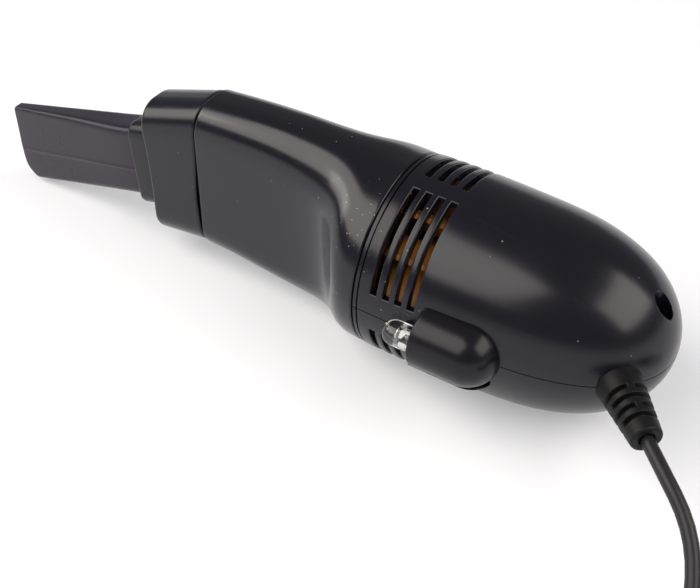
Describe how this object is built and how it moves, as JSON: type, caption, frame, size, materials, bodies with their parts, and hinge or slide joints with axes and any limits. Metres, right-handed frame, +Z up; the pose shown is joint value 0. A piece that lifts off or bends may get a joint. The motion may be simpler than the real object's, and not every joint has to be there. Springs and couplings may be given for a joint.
{
  "type": "keyboard vacuum cleaner",
  "caption": "Small bus-powered vacuum cleaner with a round motor housing, a flat neck, a drooping soft nozzle, a clear lamp, and a thin lead with a flat plug.",
  "frame": {"origin": "belly contact on the surface that the part lies on, under the motor axis", "axes": "+X towards the rear along the part, nozzle towards -X, +Z up, lamp on the -Y side"},
  "size_m": [0.2413, 0.0927, 0.0425],
  "materials": {
    "smoky_nozzle": "smoky soft plastic, satin",
    "collar_black": "semi-gloss black plastic",
    "cap_black": "semi-gloss black plastic",
    "neck_black": "semi-gloss black plastic",
    "shell_black": "semi-gloss black plastic",
    "fan_orange": "orange-brown plastic",
    "filter_plastic": "matt black plastic",
    "filter_cloth": "white filter cloth",
    "inlet_plastic": "matt black plastic",
    "mount_plastic": "matt black plastic",
    "steel": "plated steel",
    "end_cap_white": "off-white plastic",
    "bronze": "sintered bronze",
    "ferrite": "dark ferrite",
    "core_steel": "laminated steel",
    "copper": "enamelled copper wire",
    "clear_lamp": "clear epoxy",
    "tinned": "tinned wire",
    "resistor_body": "beige lacquer",
    "switch_plastic": "matt black plastic",
    "knob_plastic": "matt black plastic",
    "relief_rubber": "soft black vinyl",
    "cord_vinyl": "dark vinyl jacket",
    "wire_red": "red insulation",
    "wire_black": "black insulation",
    "grip_vinyl": "black vinyl",
    "tongue_white": "white plastic",
    "gold": "gold-plated contacts"
  },
  "bodies": {
    "housing": {"filter_frame": "filter_plastic", "filter_cloth": "filter_cloth", "inlet_ring": "inlet_plastic", "upper_shell": "shell_black", "lower_shell": "shell_black", "motor_mount": "mount_plastic", "motor_can": "steel", "motor_end_cap": "end_cap_white", "front_bush": "bronze", "rear_bush": "bronze", "motor_magnets": "ferrite", "motor_brushes": "tinned", "motor_screws": "steel", "lamp": "clear_lamp", "lamp_leads": "tinned", "lamp_resistor": "resistor_body", "switch_body": "switch_plastic", "switch_terminals": "tinned", "shell_screw": "steel", "strain_relief": "relief_rubber", "supply_wire_red": "wire_red", "supply_wire_black": "wire_black", "motor_wire_red": "wire_red", "cord": "cord_vinyl", "cord_coil": "cord_vinyl", "plug_grip": "grip_vinyl", "plug_shell": "steel", "plug_tongue": "tongue_white", "plug_contacts": "gold"},
    "rotor": {"fan": "fan_orange", "motor_shaft": "steel", "armature_core": "core_steel", "armature_windings": "copper", "commutator": "copper"},
    "knob": {"switch_knob": "knob_plastic"},
    "front": {"front_housing": "neck_black", "front_cap": "cap_black"},
    "nozzle": {"nozzle_collar": "collar_black", "nozzle_tube": "smoky_nozzle"}
  },
  "joints": [
    {"name": "fan_spin", "type": "hinge", "parent": "housing", "child": "rotor", "pos_m": [-0.01444, 0, 0.02041], "axis": [0.9996, 0, -0.0279], "continuous": true},
    {"name": "switch_slide", "type": "slide", "parent": "housing", "child": "knob", "axis": [0.9996, 0, -0.0279], "range_m": [0, 0.0024]},
    {"name": "front_release", "type": "slide", "parent": "housing", "child": "front", "axis": [-0.9996, 0, 0.0279], "range_m": [0, 0.03]},
    {"name": "nozzle_pull", "type": "slide", "parent": "front", "child": "nozzle", "axis": [-0.9728, 0, -0.2317], "range_m": [0, 0.014]}
  ]
}
